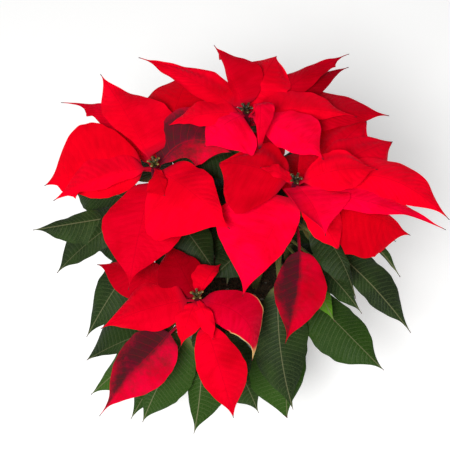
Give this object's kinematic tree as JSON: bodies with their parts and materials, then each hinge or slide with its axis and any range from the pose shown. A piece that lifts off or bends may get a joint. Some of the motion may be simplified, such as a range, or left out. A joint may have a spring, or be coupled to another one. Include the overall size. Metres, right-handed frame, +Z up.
{
  "type": "potted poinsettia",
  "caption": "Bushy flowering house plant in a plain round black nursery pot: leafy stems ending in flat heads of red bracts round small yellow-green florets.",
  "frame": {"origin": "centre of the pot's flat underside, on the pot's axis", "axes": "+Z up along the pot's axis; -Y is the side that the picture looks from; +X is to the picture's right"},
  "size_m": [0.3955, 0.3625, 0.3925],
  "materials": {
    "pot_plastic": "satin",
    "soil": "matte",
    "leaf_green": "satin",
    "bract_red": "satin",
    "floret_green": "satin"
  },
  "bodies": {
    "root": {"pot": "pot_plastic", "soil": "soil", "leaves_left": "leaf_green", "leaves_top": "leaf_green", "leaves_right": "leaf_green", "leaves_front": "leaf_green", "bracts_left": "bract_red", "bracts_top": "bract_red", "bracts_right": "bract_red", "bracts_front": "bract_red", "florets_left": "floret_green", "florets_top": "floret_green", "florets_right": "floret_green", "florets_front": "floret_green"}
  },
  "joints": []
}
